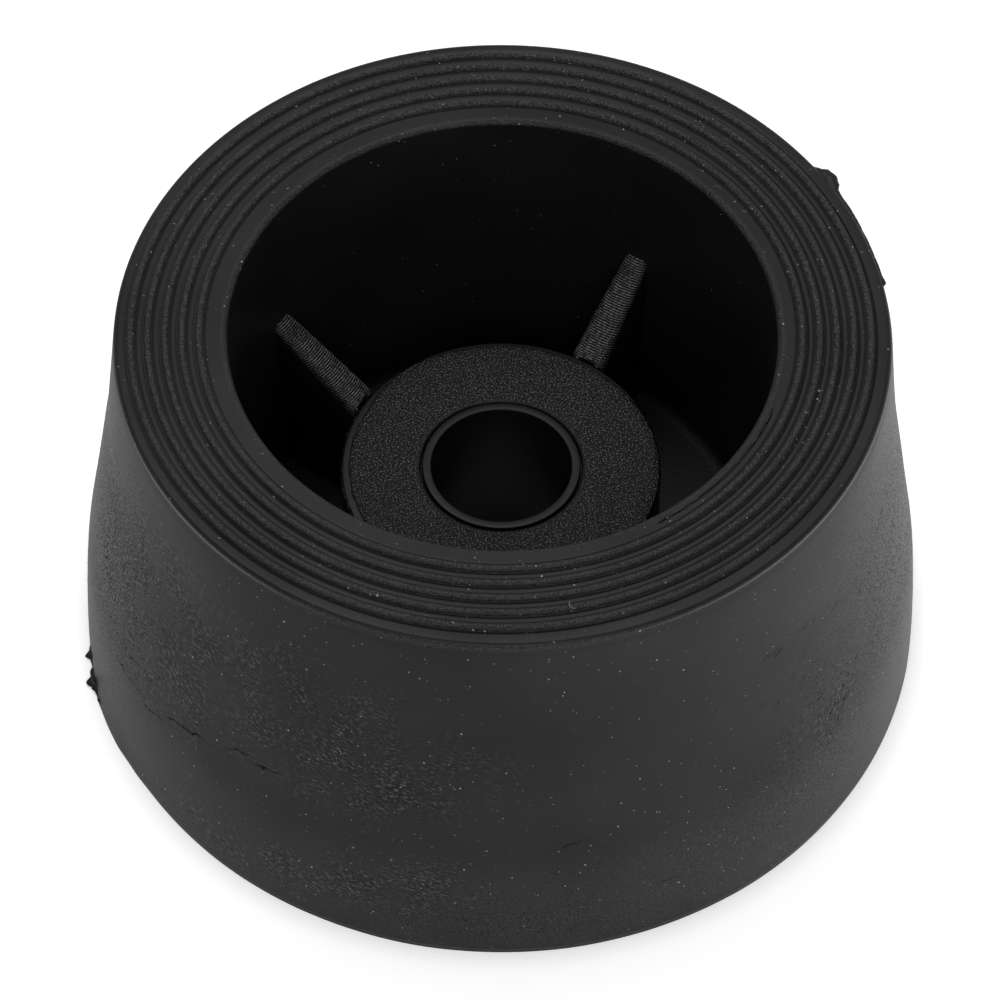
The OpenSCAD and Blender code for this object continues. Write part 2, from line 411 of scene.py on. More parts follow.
# %% Zones, runs and arcs
SMOOTH = (0, 0, 0)
SANDY = (1, 0, 0)
HALF_SANDY_SHEEN = (0.5, 0, 0)
GRAINED = (0, 1, 0)
WALL = (0, 0, 1)
WALL_CURVE = [(0, 0), (0.064, 0.023), (0.183, 0.092), (0.30, 0.187), (0.415, 0.339),
              (0.528, 0.4885), (0.638, 0.635), (0.743, 0.764), (1, 1)]


def run(start, end, steps, zone):
    return [(start[0] + (end[0] - start[0]) * i / steps, start[1] + (end[1] - start[1]) * i / steps, zone)
            for i in range(steps)]


def arc(centre, radius, start, end, steps, zone):
    angles = [math.radians(start + (end - start) * i / steps) for i in range(steps)]
    return [(centre[0] + radius * math.cos(a), centre[1] + radius * math.sin(a), zone) for a in angles]


def taper_at(height):
    """The share of the taper that is done at a share of the height, on a smooth curve through WALL_CURVE."""
    (second_x, second_y), (last_x, last_y) = WALL_CURVE[1], WALL_CURVE[-2]
    points = [(-second_x, -second_y)] + WALL_CURVE + [(2 - last_x, 2 - last_y)]
    for before, a, b, after in zip(points, points[1:], points[2:], points[3:]):
        if height <= b[0]:
            break
    t = (height - a[0]) / (b[0] - a[0])
    gap = b[0] - a[0]
    rise_a = (b[1] - before[1]) / (b[0] - before[0]) * gap
    rise_b = (after[1] - a[1]) / (after[0] - a[0]) * gap
    return (a[1] * (1 + 2 * t) * (1 - t) ** 2 + rise_a * t * (1 - t) ** 2
            + b[1] * t * t * (3 - 2 * t) + rise_b * t * t * (t - 1))


print("half way up,", round(taper_at(0.5) * 100), "percent of the taper is done")

# %% The wall and the tread
def wall_outline():
    steps = 66
    wall_top = TOP - RIM_ROUND
    points = []
    for i in range(steps):
        z = wall_top * i / steps
        points.append((BASE_R - (BASE_R - RIM_R) * taper_at(z / TOP), z, WALL))
    # The lower half of the rim's round is half sandy, which paints a pale highlight along the rim's edge.
    points += arc((RIM_R - RIM_ROUND, wall_top), RIM_ROUND, 0, 45, 4, HALF_SANDY_SHEEN)
    return points + arc((RIM_R - RIM_ROUND, wall_top), RIM_ROUND, 45, 90, 4, SMOOTH)


def tread_outline():
    """From the rim inwards: each bead is half an oval between two creases."""
    steps = 10
    edge = RIM_R - RIM_ROUND
    points = []
    for k in reversed(range(BEADS)):
        bead = BEAD_MID + (k - (BEADS - 1) / 2) * BEAD_PITCH
        points += run((edge, TOP), (bead + BEAD_OUT + CREASE_W, TOP), 3, SMOOTH)
        points.append((bead + BEAD_OUT + CREASE_W, TOP, SMOOTH))
        points.append((bead + BEAD_OUT + CREASE_SIDE, TOP - CREASE, SMOOTH))
        for i in range(steps + 1):
            turn = math.pi * i / steps
            # The outer flank of each bead is half sandy and the inner flank fully sandy, so the inner flank
            # is paler.
            reach, skin = (BEAD_OUT, HALF_SANDY_SHEEN) if i < steps / 2 else (BEAD_IN, SANDY)
            points.append((bead + reach * math.cos(turn), TOP + BEAD_RISE * math.sin(turn), skin))
        points.append((bead - BEAD_IN - CREASE_SIDE, TOP - CREASE * INNER_CREASE, SMOOTH))
        edge = bead - BEAD_IN - CREASE_W
    return points + run((edge, TOP), (MOUTH_R + MOUTH_ROUND, TOP), 6, SMOOTH)


print(len(wall_outline()), "points up the wall and", len(tread_outline()), "across the tread")

# %% The cup, the hub and the bore
def cup_outline():
    # The mouth's round is half sandy, which paints a pale highlight along it.
    points = arc((MOUTH_R + MOUTH_ROUND, TOP - MOUTH_ROUND), MOUTH_ROUND, 90, 180, 6, HALF_SANDY_SHEEN)
    points += run((MOUTH_R, TOP - MOUTH_ROUND), (CUP_R, FLOOR), 24, SMOOTH)
    # The cup's floor is half sandy, painted paler both for dust and for the light that falls into the cup.
    return points + run((CUP_R, FLOOR), (HUB_FOOT_R, FLOOR), 8, HALF_SANDY_SHEEN)


def hub_outline():
    """Up the hub's side, over its smooth edge and its grained top, and down into the groove."""
    edge_z = HUB_TOP - HUB_EDGE_DROP
    moat_out = LIP_R + MOAT_W
    moat_floor = HUB_TOP - MOAT_DEPTH
    points = run((HUB_FOOT_R, FLOOR), (HUB_R, edge_z - HUB_ROUND), 8, SMOOTH)
    points += arc((HUB_R - HUB_ROUND, edge_z - HUB_ROUND), HUB_ROUND, 0, 90, 5, SMOOTH)
    points += run((HUB_R - HUB_ROUND, edge_z), (HUB_EDGE, edge_z), 2, SMOOTH)
    points.append((HUB_EDGE, edge_z, SMOOTH))
    points += run((HUB_EDGE - mm(0.03), HUB_TOP), (moat_out, HUB_TOP), 14, GRAINED)
    points += run((moat_out, HUB_TOP), (moat_out, moat_floor), 2, SMOOTH)
    return points + run((moat_out, moat_floor), (LIP_R, moat_floor), 1, SMOOTH)


def bore_outline():
    """Up the ring round the bore, over it, down the bore and out along the base."""
    top = HUB_TOP + LIP_RISE
    outer = LIP_ROUND / 2
    points = run((LIP_R, HUB_TOP - MOAT_DEPTH), (LIP_R, top - outer), 2, SMOOTH)
    points += arc((LIP_R - outer, top - outer), outer, 0, 90, 3, SMOOTH)
    points += run((LIP_R - outer, top), (BORE_R + LIP_ROUND, top), 1, SMOOTH)
    points += arc((BORE_R + LIP_ROUND, top - LIP_ROUND), LIP_ROUND, 90, 180, 4, SMOOTH)
    points += run((BORE_R, top - LIP_ROUND), (BORE_R, 0), 8, SMOOTH)
    return points + run((BORE_R, 0), (BASE_R, 0), 8, SMOOTH)


outline = wall_outline() + tread_outline() + cup_outline() + hub_outline() + bore_outline()
print("outline of", len(outline), "points")

# %% [markdown]
# ## Turning the outline
# A lathe is a rule, so Geometry Nodes do it: a grid with one row for each point of the outline and one
# column for each step round the axis. Each grid point looks up its row's radius and height, and its column
# gives its angle. The tree then welds the seam and lets the wall wander a little, because rubber never
# comes out perfectly round.

# %% Start and end a tree
def new_tree(name, inputs):
    tree = bpy.data.node_groups.new(name, "GeometryNodeTree")
    tree.interface.new_socket(name="Geometry", in_out="INPUT", socket_type="NodeSocketGeometry")
    for label, kind, value in inputs:
        socket = tree.interface.new_socket(name=label, in_out="INPUT", socket_type=kind)
        if value is not None:
            socket.default_value = value
    tree.interface.new_socket(name="Geometry", in_out="OUTPUT", socket_type="NodeSocketGeometry")
    start = tree.nodes.new("NodeGroupInput")
    return tree, start.outputs


def lattice(tree, spine, across):
    """A grid with one row for each point of the spine, and the row and the column of each of its points."""
    rows = add_node(tree, "GeometryNodeAttributeDomainSize", {"Geometry": spine}).outputs["Point Count"]
    grid = add_node(tree, "GeometryNodeMeshGrid", {"Vertices X": rows, "Vertices Y": across})
    index = add_node(tree, "GeometryNodeInputIndex").outputs[0]
    row = add_node(tree, "ShaderNodeMath", {0: index, 1: across}, operation="DIVIDE").outputs[0]
    row = add_node(tree, "ShaderNodeMath", {0: row}, operation="FLOOR").outputs[0]
    column = add_node(tree, "ShaderNodeMath", {0: index, 1: across}, operation="MODULO").outputs[0]
    return grid.outputs["Mesh"], row, column


def finish_tree(tree, given, shape):
    """Every tree ends alike: real geometry, smooth shading and its material."""
    shape = add_node(tree, "GeometryNodeRealizeInstances", {"Geometry": shape}).outputs[0]
    shape = add_node(tree, "GeometryNodeSetShadeSmooth", {"Geometry": shape}).outputs[0]
    shape = add_node(tree, "GeometryNodeSetMaterial", {"Geometry": shape, "Material": given["Material"]})
    add_node(tree, "NodeGroupOutput", {0: shape.outputs[0]})


# %% The lathe tree
def lathe_tree():
    tree, given = new_tree("lathe", [("Steps round", "NodeSocketInt", 360),
                                     ("Waviness", "NodeSocketFloat", mm(0.05)),
                                     ("Wave length", "NodeSocketFloat", mm(9)),
                                     ("Material", "NodeSocketMaterial", None)])
    columns = add_node(tree, "ShaderNodeMath", {0: given["Steps round"], 1: 1}, operation="ADD").outputs[0]
    grid, row, column = lattice(tree, given["Geometry"], columns)
    turn = add_node(tree, "ShaderNodeMath", {0: column, 1: given["Steps round"]},
                    operation="DIVIDE").outputs[0]
    angle = add_node(tree, "ShaderNodeMath", {0: turn, 1: math.tau}, operation="MULTIPLY").outputs[0]
    spot = add_node(tree, "GeometryNodeInputPosition").outputs[0]
    point = add_node(tree, "GeometryNodeSampleIndex",
                     {"Geometry": given["Geometry"], "Value": spot, "Index": row},
                     data_type="FLOAT_VECTOR").outputs[0]
    zone = add_node(tree, "GeometryNodeInputNamedAttribute", {"Name": "zone"},
                    data_type="FLOAT_VECTOR").outputs[0]
    zone = add_node(tree, "GeometryNodeSampleIndex",
                    {"Geometry": given["Geometry"], "Value": zone, "Index": row},
                    data_type="FLOAT_VECTOR").outputs[0]
    swung = add_node(tree, "ShaderNodeVectorRotate", {"Vector": point, "Angle": angle},
                     rotation_type="Z_AXIS").outputs[0]
    shape = add_node(tree, "GeometryNodeSetPosition", {"Geometry": grid, "Position": swung}).outputs[0]
    shape = add_node(tree, "GeometryNodeStoreNamedAttribute",
                     {"Geometry": shape, "Name": "zone", "Value": zone},
                     data_type="FLOAT_VECTOR", domain="POINT").outputs[0]
    shape = add_node(tree, "GeometryNodeMergeByDistance",
                     {"Geometry": shape, "Distance": mm(0.002)}).outputs[0]

    # The wall swells and sinks by hundredths of a millimetre, along its outward direction only.
    scale = add_node(tree, "ShaderNodeMath", {0: 1.0, 1: given["Wave length"]},
                     operation="DIVIDE").outputs[0]
    wave = add_node(tree, "ShaderNodeTexNoise",
                    {"Vector": spot, "Scale": scale, "Detail": 2.0}).outputs["Fac"]
    wave = add_node(tree, "ShaderNodeMapRange", {0: wave, 3: -1.0, 4: 1.0}).outputs[0]
    on_wall = add_node(tree, "GeometryNodeInputNamedAttribute", {"Name": "zone"},
                       data_type="FLOAT_VECTOR").outputs[0]
    on_wall = add_node(tree, "ShaderNodeSeparateXYZ", {0: on_wall}).outputs[2]
    wave = add_node(tree, "ShaderNodeMath", {0: wave, 1: on_wall}, operation="MULTIPLY").outputs[0]
    wave = add_node(tree, "ShaderNodeMath", {0: wave, 1: given["Waviness"]},
                    operation="MULTIPLY").outputs[0]
    outward = add_node(tree, "ShaderNodeVectorMath", {0: spot, 1: (1, 1, 0)},
                       operation="MULTIPLY").outputs[0]
    outward = add_node(tree, "ShaderNodeVectorMath", {0: outward}, operation="NORMALIZE").outputs[0]
    push = add_node(tree, "ShaderNodeVectorMath", {0: outward, "Scale": wave}, operation="SCALE").outputs[0]
    shape = add_node(tree, "GeometryNodeSetPosition", {"Geometry": shape, "Offset": push}).outputs[0]
    finish_tree(tree, given, shape)
    return tree


lathe = lathe_tree()
print("lathe tree has", len(lathe.nodes), "nodes")

# %% [markdown]
# ## From a tree to a plain mesh
# The tree works on a small carrier mesh. Once its inputs are set, Blender evaluates it and the result is
# copied into a plain mesh. The carrier is then removed.

# %% Evaluate a tree
def carrier_mesh(name, points, edges, attributes):
    mesh = bpy.data.meshes.new(name)
    mesh.from_pydata(points, edges, [])
    for label, values in attributes.items():
        layer = mesh.attributes.new(label, "FLOAT_VECTOR", "POINT")
        for item, value in zip(layer.data, values):
            item.vector = value
    return new_object(name, mesh)


def grow(carrier, tree, name, settings):
    modifier = carrier.modifiers.new("grow", "NODES")
    modifier.node_group = tree
    sockets = {item.name: item.identifier for item in tree.interface.items_tree if item.in_out == "INPUT"}
    for label, value in settings.items():
        modifier[sockets[label]] = value
    depsgraph = bpy.context.evaluated_depsgraph_get()
    mesh = bpy.data.meshes.new_from_object(carrier.evaluated_get(depsgraph))
    mesh.name = name
    piece = new_object(name, mesh)
    bpy.data.objects.remove(carrier)
    return piece


def turn_outwards(piece):
    """Point the faces of a closed mesh outwards: its signed volume tells which way they look."""
    mesh = piece.data
    mesh.calc_loop_triangles()
    points = [v.co for v in mesh.vertices]
    corners = [tuple(triangle.vertices) for triangle in mesh.loop_triangles]
    volume = sum(points[a].dot(points[b].cross(points[c])) for a, b, c in corners) / 6
    if volume < 0:
        mesh.flip_normals()
    print(piece.name, "holds", round(abs(volume) * 1e9), "mm3 in", len(corners), "triangles")


def turn_shell():
    points = [(x, 0, z) for x, z, zone in outline]
    points.append(points[0])
    zones = [zone for x, z, zone in outline]
    zones.append(zones[0])
    edges = [(i, i + 1) for i in range(len(points) - 1)]
    carrier = carrier_mesh("outline", points, edges, {"zone": zones})
    return grow(carrier, lathe, "foot_body", {"Steps round": 360, "Material": rubber})


foot_body = turn_shell()
turn_outwards(foot_body)

# %% [markdown]
# ## Small errors of the mould
# The insert that forms the beads sat about 0.16 mm off the axis, so the plain band is wider on
# one side than on the other. Round the hub the grained top ends in a frayed line above a smooth lip, which
# is widest on the left. On the left the wall also swells a little just above the base, where the mould did
# not quite close. All three are small moves of points that are already there.

# %% Shift the beads, swell the base, fray the hub's edge
BEAD_DRIFT = Matrix.Rotation(CAMERA_AROUND, 2) @ Vector((mm(-0.12), mm(0.10)))


def window(angle, first, last, fade):
    """One between two angles, fading to nothing outside them, all in degrees."""
    off = abs((angle - (first + last) / 2 + 180) % 360 - 180) - (last - first) / 2
    return min(1.0, max(0.0, 1 - off / fade))


def ragged(angle, grain, seed):
    """A steady noise of an angle, from -1 to 1, that closes on itself; grain is its features per turn."""
    reach = grain / math.tau
    turn = math.radians(angle)
    return noise.fractal(Vector((math.cos(turn) * reach, math.sin(turn) * reach, seed)), 0.8, 2.2, 4)


def reach_at(table, angle):
    """The value of a table of angles and reaches, eased from one entry to the next."""
    for (a, low), (b, high) in zip(table, table[1:]):
        if angle <= b:
            share = max(0.0, (angle - a) / (b - a))
            return low + (high - low) * share * share * (3 - 2 * share)
    return table[-1][1]


BASE_SWELL = [(178, 0.0), (182, 0.16), (185, 0.24), (188, 0.22), (192, 0.2), (197, 0.08), (202, 0.0)]
SWELL_HEIGHT = mm(4)


def settle_mesh(piece):
    moved = 0
    for vertex in piece.data.vertices:
        x, y, z = vertex.co
        r = math.hypot(x, y)
        angle = math.degrees(math.atan2(y, x))
        if z > TOP - mm(0.15) and MOUTH_R + mm(0.6) < r < RIM_R - mm(0.45):
            vertex.co.x += BEAD_DRIFT[0]
            vertex.co.y += BEAD_DRIFT[1]
            moved += 1
        elif z < SWELL_HEIGHT and r > BASE_R - mm(2):
            swell = mm(reach_at(BASE_SWELL, angle % 360)) * (1 - z / SWELL_HEIGHT) ** 2
            vertex.co *= 1 + swell / r
            vertex.co.z = z
            moved += swell > 0
        elif HUB_TOP - mm(0.08) < z < HUB_TOP + mm(0.01) and abs(r - HUB_EDGE) < mm(0.12):
            wide = max(window(angle, 140, 200, 25), 0.6 * window(angle, 40, 90, 25))
            shift = mm(0.08) * ragged(angle, 110, 3.0) + mm(0.16) - mm(0.33) * wide
            vertex.co *= 1 + shift / r
            vertex.co.z = z
            moved += 1
    print("moved", moved, "points of", piece.name)


settle_mesh(foot_body)

# %% [markdown]
# ## The ribs
# Four thin ribs hold the hub in the cup. Each crest is rounded, climbs from the hub to the wall and grows
# thinner on the way. The cutter that made the mould stepped along it, so the crest carries fine ripples
# that bow round it. A rib is a rule too: a spine of rows that give distance, height and half width, and one
# section that gives the shape across. The tree puts them together, presses in the ripples and copies the
# rib round the hub.

# %% The rib's spine and section
RIB_START = HUB_R + mm(0.35)
RIB_END = MOUTH_R + mm(0.4)
RIB_W_HUB = mm(2.3)
RIB_W_WALL = mm(1.56)
RIB_CREST_HUB = HUB_TOP - mm(0.15)
RIB_RISE = mm(4.1)
RIB_SLOPE = RIB_RISE / (MOUTH_R - HUB_R)
RIB_LEAN = math.atan(RIB_SLOPE)
RIPPLE_TILT = math.radians(60)
RIPPLE = mm(0.162) * math.cos(RIPPLE_TILT - RIB_LEAN)
ROWS_PER_RIPPLE = 4.6
SQUARENESS = 0.72


def rib_spine():
    """Rows from nose to wall: distance from the axis, height of the crest's centre, half width."""
    rows = []
    steps = int((RIB_END - RIB_START) / math.cos(RIB_LEAN) / RIPPLE * ROWS_PER_RIPPLE)
    nose = mm(0.35)
    for i in range(steps + 1):
        r = RIB_START + (RIB_END - RIB_START) * i / steps
        half = (RIB_W_HUB + (RIB_W_WALL - RIB_W_HUB) * (r - HUB_R) / (MOUTH_R - HUB_R)) / 2
        crest = RIB_CREST_HUB + (r - HUB_R) * RIB_SLOPE
        left = max(0.0, 1 - (r - RIB_START) / nose)
        drop = nose * (1 - math.sqrt(1 - left * left)) * 0.9
        rows.append((r, crest - half / math.cos(RIB_LEAN) - drop, half - drop * 0.25))
    return rows


def rib_section():
    """Points across the rib: share of the half width, share of the crest's height, and 1 at the floor."""
    steps = 44
    crest = []
    for i in range(steps + 1):
        x, y = math.cos(math.pi * i / steps), max(0.0, math.sin(math.pi * i / steps))
        crest.append((math.copysign(abs(x) ** SQUARENESS, x), y ** SQUARENESS, 0))
    return [(0.96, 0, 1)] + crest + [(-0.96, 0, 1)]


print("rib of", len(rib_spine()), "rows and", len(rib_section()), "points across")

# %% The rib tree
def rib_tree():
    tree, given = new_tree("rib", [("Section", "NodeSocketObject", None), ("Ribs", "NodeSocketInt", 4),
                                   ("Floor", "NodeSocketFloat", FLOOR - mm(0.5)),
                                   ("Step tilt", "NodeSocketFloat", RIPPLE_TILT),
                                   ("Ripple length", "NodeSocketFloat", RIPPLE),
                                   ("Ripple depth", "NodeSocketFloat", mm(0.08)),
                                   ("Material", "NodeSocketMaterial", None)])
    section = add_node(tree, "GeometryNodeObjectInfo", {"Object": given["Section"]}).outputs["Geometry"]
    across = add_node(tree, "GeometryNodeAttributeDomainSize", {"Geometry": section}).outputs["Point Count"]
    grid, row, column = lattice(tree, given["Geometry"], across)
    spot = add_node(tree, "GeometryNodeInputPosition").outputs[0]
    spine = add_node(tree, "GeometryNodeSampleIndex",
                     {"Geometry": given["Geometry"], "Value": spot, "Index": row},
                     data_type="FLOAT_VECTOR").outputs[0]
    cross = add_node(tree, "GeometryNodeSampleIndex", {"Geometry": section, "Value": spot, "Index": column},
                     data_type="FLOAT_VECTOR").outputs[0]
    spine = add_node(tree, "ShaderNodeSeparateXYZ", {0: spine}).outputs
    cross = add_node(tree, "ShaderNodeSeparateXYZ", {0: cross}).outputs

    # Ripples lie where evenly spaced tilted planes cut the crest, so that each one bows round it.
    along = add_node(tree, "ShaderNodeMath", {0: given["Step tilt"]}, operation="COSINE").outputs[0]
    along = add_node(tree, "ShaderNodeMath", {0: spine[0], 1: along}, operation="MULTIPLY").outputs[0]
    crest = add_node(tree, "ShaderNodeMath", {0: cross[1], 1: spine[2], 2: spine[1]},
                     operation="MULTIPLY_ADD").outputs[0]
    climb = add_node(tree, "ShaderNodeMath", {0: given["Step tilt"]}, operation="SINE").outputs[0]
    along = add_node(tree, "ShaderNodeMath", {0: crest, 1: climb, 2: along},
                     operation="MULTIPLY_ADD").outputs[0]
    phase = add_node(tree, "ShaderNodeMath", {0: along, 1: given["Ripple length"]},
                     operation="DIVIDE").outputs[0]
    phase = add_node(tree, "ShaderNodeMath", {0: phase, 1: math.tau}, operation="MULTIPLY").outputs[0]
    # A slow noise shifts the ripples along the crest and makes some of them faint.
    uneven = add_node(tree, "ShaderNodeCombineXYZ", {0: spine[0], 1: cross[0]}).outputs[0]
    uneven = add_node(tree, "ShaderNodeTexNoise", {"Vector": uneven, "Scale": per_mm(0.5)}).outputs["Fac"]
    phase = add_node(tree, "ShaderNodeMath", {0: uneven, 1: 9.0, 2: phase},
                     operation="MULTIPLY_ADD").outputs[0]
    ripple = add_node(tree, "ShaderNodeMath", {0: phase}, operation="SINE").outputs[0]
    # The ripples fade out down the rib's sides, in depth and in the painted highlight on their crests.
    strength = add_node(tree, "ShaderNodeMapRange", {0: cross[1], 1: 0.1, 2: 0.85}).outputs[0]
    depth = add_node(tree, "ShaderNodeMapRange", {0: uneven, 1: 0.38, 2: 0.6, 3: 0.15, 4: 1.0}).outputs[0]
    strength = add_node(tree, "ShaderNodeMath", {0: strength, 1: depth}, operation="MULTIPLY").outputs[0]
    ripple = add_node(tree, "ShaderNodeMath", {0: ripple, 1: strength}, operation="MULTIPLY").outputs[0]
    half = add_node(tree, "ShaderNodeMath", {0: ripple, 1: given["Ripple depth"], 2: spine[2]},
                    operation="MULTIPLY_ADD").outputs[0]

    # Height: the crest's round above, or the floor where the section's third value is one.
    side = add_node(tree, "ShaderNodeMath", {0: cross[0], 1: half}, operation="MULTIPLY").outputs[0]
    height = add_node(tree, "ShaderNodeMath", {0: cross[1], 1: half, 2: spine[1]},
                      operation="MULTIPLY_ADD").outputs[0]
    height = add_node(tree, "ShaderNodeMix", {0: cross[2], 2: height, 3: given["Floor"]}).outputs[0]
    spot = add_node(tree, "ShaderNodeCombineXYZ", {0: spine[0], 1: side, 2: height}).outputs[0]
    shape = add_node(tree, "GeometryNodeSetPosition", {"Geometry": grid, "Position": spot}).outputs[0]
    shape = add_node(tree, "GeometryNodeStoreNamedAttribute",
                     {"Geometry": shape, "Name": "ripple", "Value": ripple},
                     data_type="FLOAT", domain="POINT").outputs[0]
    shape = add_node(tree, "GeometryNodeMergeByDistance",
                     {"Geometry": shape, "Distance": mm(0.0005)}).outputs[0]

    # Copies round the hub: one point for each rib, half a step off the X axis.
    points = add_node(tree, "GeometryNodePoints", {"Count": given["Ribs"]}).outputs[0]
    turn = add_node(tree, "GeometryNodeInputIndex").outputs[0]
    turn = add_node(tree, "ShaderNodeMath", {0: turn, 1: 0.5}, operation="ADD").outputs[0]
    turn = add_node(tree, "ShaderNodeMath", {0: turn, 1: given["Ribs"]}, operation="DIVIDE").outputs[0]
    turn = add_node(tree, "ShaderNodeMath", {0: turn, 1: math.tau}, operation="MULTIPLY").outputs[0]
    turn = add_node(tree, "ShaderNodeCombineXYZ", {2: turn}).outputs[0]
    shape = add_node(tree, "GeometryNodeInstanceOnPoints", {"Points": points, "Instance": shape,
                                                            "Rotation": turn}).outputs[0]
    finish_tree(tree, given, shape)
    return tree


# %% Grow the ribs
def close_ends(rows):
    """Shrink a first and a last row to a point, so that the rib is a closed solid."""
    first, last = rows[0], rows[-1]
    return [(first[0], first[1], 0)] + rows + [(last[0], last[1], 0)]


def make_ribs():
    loop = rib_section()
    loop.append(loop[0])
    section = carrier_mesh("rib_section", loop, [], {})
    spine = carrier_mesh("rib_spine", close_ends(rib_spine()), [], {})
    piece = grow(spine, rib_tree(), "hub_ribs", {"Section": section, "Material": rubber})
    bpy.data.objects.remove(section)
    return piece


hub_ribs = make_ribs()
turn_outwards(hub_ribs)

# %% [markdown]
# ## Flash
# Rubber creeps into the joints of the mould and leaves thin fins where they close. This foot kept three:
# a strip with a round tongue on the rim, a frayed lip on the left of the hub, and two torn bits at the base.
# Each fin is one soft-edged section led round the axis. Its reach is given at a few angles and eased between
# them, and a steady noise frays it.

# %% Flash fins
RIM_FIN = [(-4.6, 0.0), (-4.1, 0.22), (-2.2, 0.14), (2, 0.12), (8, 0.17), (12, 0.19), (13.8, 0.2),
           (15.2, 0.28), (16.3, 0.56), (17.6, 0.74), (19.1, 0.66), (20.2, 0.3), (21.4, 0.05), (24, 0.0)]
HUB_FIN = [(130, 0.0), (138, 0.06), (150, 0.13), (165, 0.08), (178, 0.15), (190, 0.1), (200, 0.13),
           (206, 0.0)]
BASE_FIN = [(175.6, 0.0), (176.6, 0.1), (177.6, 0.4), (178.4, 0.12), (179.6, 0.1), (180.4, 0.32),
            (181.2, 0.3), (182, 0.6), (182.8, 0.42), (184.5, 0.3), (187, 0.1), (189, 0.0)]
FIN_EDGE = ((0, 0), (0.7, 0.05), (0.93, 0.2), (1, 0.5), (0.93, 0.8), (0.6, 0.95), (0, 1))
FIN_ROOT = 0.35


def flash_fin(name, table, inner, top, thick, fray, step):
    """A closed strip round the axis: rows of seven points from its root, over its edge and back.
    The root is sunk in the rubber by FIN_ROOT, and the reaches of the table, in mm too, start from there."""
    rows = int((table[-1][0] - table[0][0]) / step)
    points, faces = [], []
    for i in range(rows + 1):
        angle = table[0][0] + (table[-1][0] - table[0][0]) * i / rows
        turn = math.radians(angle)
        reach = reach_at(table, angle)
        reach = mm(FIN_ROOT + max(0.0, reach * (1 + fray * ragged(angle, 300, len(name)))))
        rise = mm(0.1) * ragged(angle, 150, 7.0)
        for out, down in FIN_EDGE:
            r = inner + reach * out
            points.append((r * math.cos(turn), r * math.sin(turn), top + rise * out - thick * down))
    across = len(FIN_EDGE)
    for i in range(rows):
        for k in range(across):
            a, b = i * across + k, i * across + (k + 1) % across
            faces.append((a, b, b + across, a + across))
    faces += [tuple(reversed(range(across))), tuple(rows * across + k for k in range(across))]
    mesh = bpy.data.meshes.new(name)
    mesh.from_pydata(points, [], faces)
    mesh.materials.append(rubber)
    for face in mesh.polygons:
        face.use_smooth = len(face.vertices) == 4
    fin = new_object(name, mesh)
    turn_outwards(fin)
    return fin


flash = [flash_fin("rim_flash", RIM_FIN, RIM_R - mm(0.38), TOP - mm(0.1), mm(0.4), 0.03, 0.25),
         flash_fin("hub_flash", HUB_FIN, HUB_R - mm(0.36), HUB_TOP - mm(0.12), mm(0.3), 0.7, 0.3),
         flash_fin("base_flash", BASE_FIN, BASE_R - mm(0.36), mm(0.42), mm(0.4), 0.3, 0.12)]

# %% [markdown]
# ## Dust and lint
# Soft rubber holds every crumb and hair that touches it. Specks and hairs are copies strewn over a surface,
# which is the work of Geometry Nodes: points are scattered on the body, each takes a copy of a tiny stone or
# of a bent hair, turned and sized at random from a fixed seed. Each copy also keeps a random number, by which
# its colour fades. Faces that look down and the sheltered cup are left clean.

# %% Settled dust
def settled_dust():
    # Skin, chalk and paper crumbs look alike at this size: warm grey and quite matt.
    # Most have sunk into the skin's own black, and only a few stand out.
    material, tree = new_material("settled_dust")
    fade = add_node(tree, "ShaderNodeAttribute", attribute_name="fade").outputs["Fac"]
    fade = add_node(tree, "ShaderNodeMath", {0: fade, 1: 1.6}, operation="POWER").outputs[0]
    colour = add_node(tree, "ShaderNodeMix", {0: fade, 6: linear("#444341"), 7: linear("#c4bfb6")},
                      data_type="RGBA").outputs[2]
    skin = add_node(tree, "ShaderNodeBsdfPrincipled", {"Base Color": colour, "Roughness": 0.9,
                                                       "Specular IOR Level": 0.2})
    add_node(tree, "ShaderNodeOutputMaterial", {"Surface": skin.outputs[0]})
    return material


dust = settled_dust()
print("made", dust.name)

